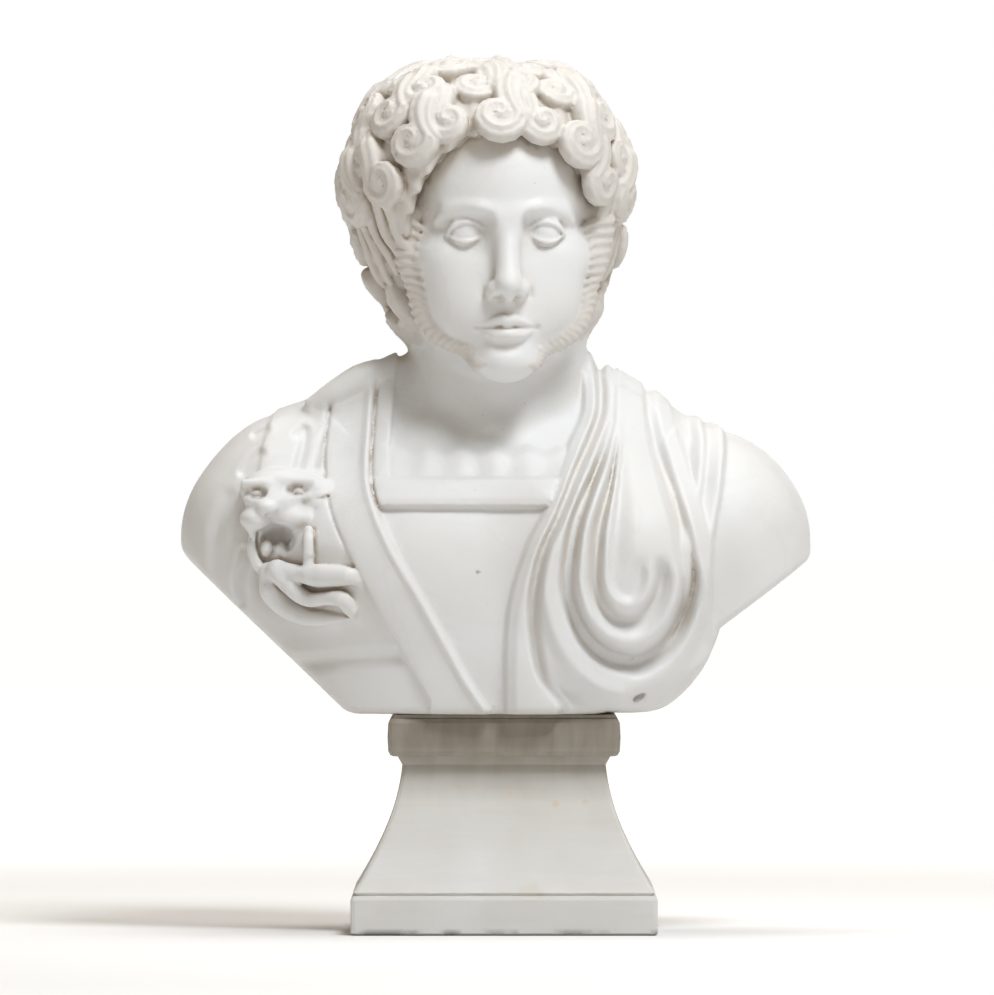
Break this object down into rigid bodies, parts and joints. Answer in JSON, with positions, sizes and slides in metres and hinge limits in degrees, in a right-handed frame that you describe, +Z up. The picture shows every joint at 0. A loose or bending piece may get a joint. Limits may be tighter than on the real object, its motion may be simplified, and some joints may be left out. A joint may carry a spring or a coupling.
{
  "type": "portrait bust on socle",
  "caption": "Marble portrait bust in classical dress, with curled hair, beard, shoulder drapery and a lion mask, on a square waisted socle.",
  "frame": {"origin": "middle of the socle's underside", "axes": "+Z up; the bust faces -Y; +X is to the right of someone looking at its face"},
  "size_m": [0.5046, 0.2528, 0.7001],
  "materials": {
    "bust_marble": "honed white marble, faintly yellowed in the hollows",
    "socle_marble": "honed off-white marble, dirty at the foot"
  },
  "bodies": {
    "root": {"bust": "bust_marble", "socle": "socle_marble"}
  },
  "joints": []
}
